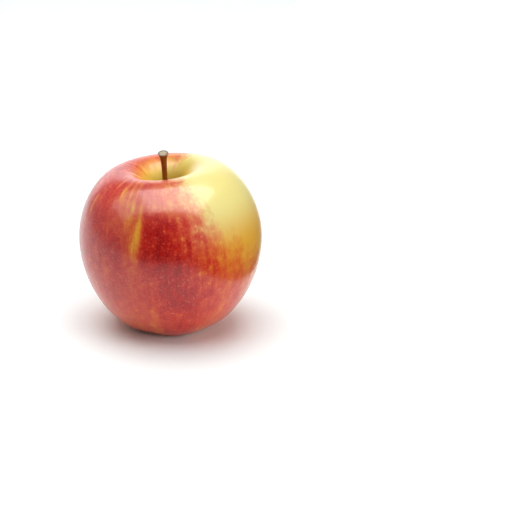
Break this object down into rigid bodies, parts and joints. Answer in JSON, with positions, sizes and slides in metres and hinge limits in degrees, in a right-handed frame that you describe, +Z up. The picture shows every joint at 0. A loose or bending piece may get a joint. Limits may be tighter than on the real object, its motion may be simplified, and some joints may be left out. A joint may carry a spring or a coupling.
{
  "type": "apple",
  "caption": "Whole ripe dessert apple with red and yellow skin, a bent stem in its cavity and a dried calyx underneath, standing on the crowns of its foot.",
  "frame": {"origin": "on the surface the apple stands on, under the middle of the fruit", "axes": "+Z up along the fruit's core, -Y towards the side that the picture shows, +X to its right"},
  "size_m": [0.0801, 0.0797, 0.0802],
  "materials": {
    "skin": "waxy",
    "stem": "matte",
    "sepals": "matte",
    "stamens": "matte"
  },
  "bodies": {
    "root": {"fruit": "skin", "stem": "stem", "sepals": "sepals", "stamens": "stamens"}
  },
  "joints": []
}
